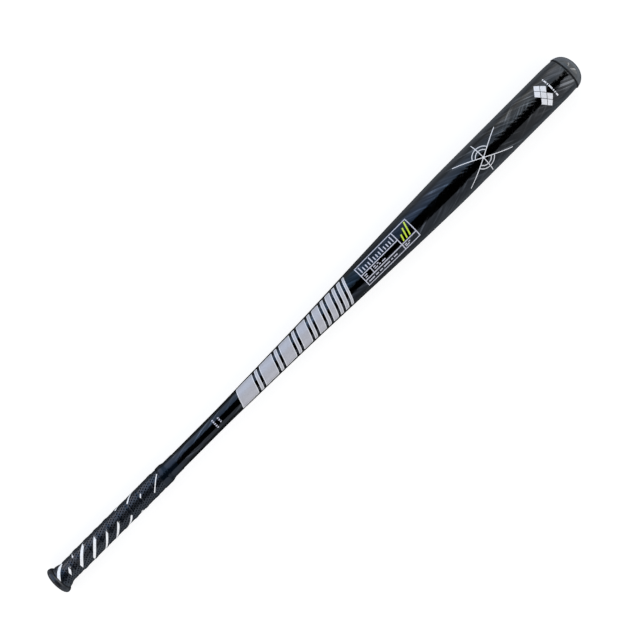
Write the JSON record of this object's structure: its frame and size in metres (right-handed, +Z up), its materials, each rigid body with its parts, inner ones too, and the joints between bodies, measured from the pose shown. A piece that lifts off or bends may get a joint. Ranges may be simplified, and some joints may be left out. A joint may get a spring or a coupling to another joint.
{
  "type": "pesapallo bat",
  "caption": "Slim round bat that tapers from a thick barrel with a domed cap to a thin handle with a wound, perforated grip and a rounded knob.",
  "frame": {"origin": "centre of the knob's flat end face, on the bat's axis", "axes": "+X along the bat's axis from the knob to the tip; +Z up as the bat lies on a floor"},
  "size_m": [0.9795, 0.051, 0.051],
  "materials": {
    "clear_coated_carbon": "braided carbon under a gloss clear coat",
    "knob_rubber": "moulded, satin",
    "weight_brass": "turned",
    "grip_perforated": "matte perforated synthetic leather with pale printed slashes",
    "band_vinyl": "satin stretch tape",
    "foam": "closed-cell foam",
    "seal_rubber": "matte",
    "cap_plastic": "satin moulded"
  },
  "bodies": {
    "root": {"bat_tube": "clear_coated_carbon", "knob": "knob_rubber", "balance_weight": "weight_brass", "grip_tape": "grip_perforated", "finishing_band": "band_vinyl", "barrel_foam": "foam", "cap_seal_ring": "seal_rubber", "end_cap": "cap_plastic"}
  },
  "joints": []
}
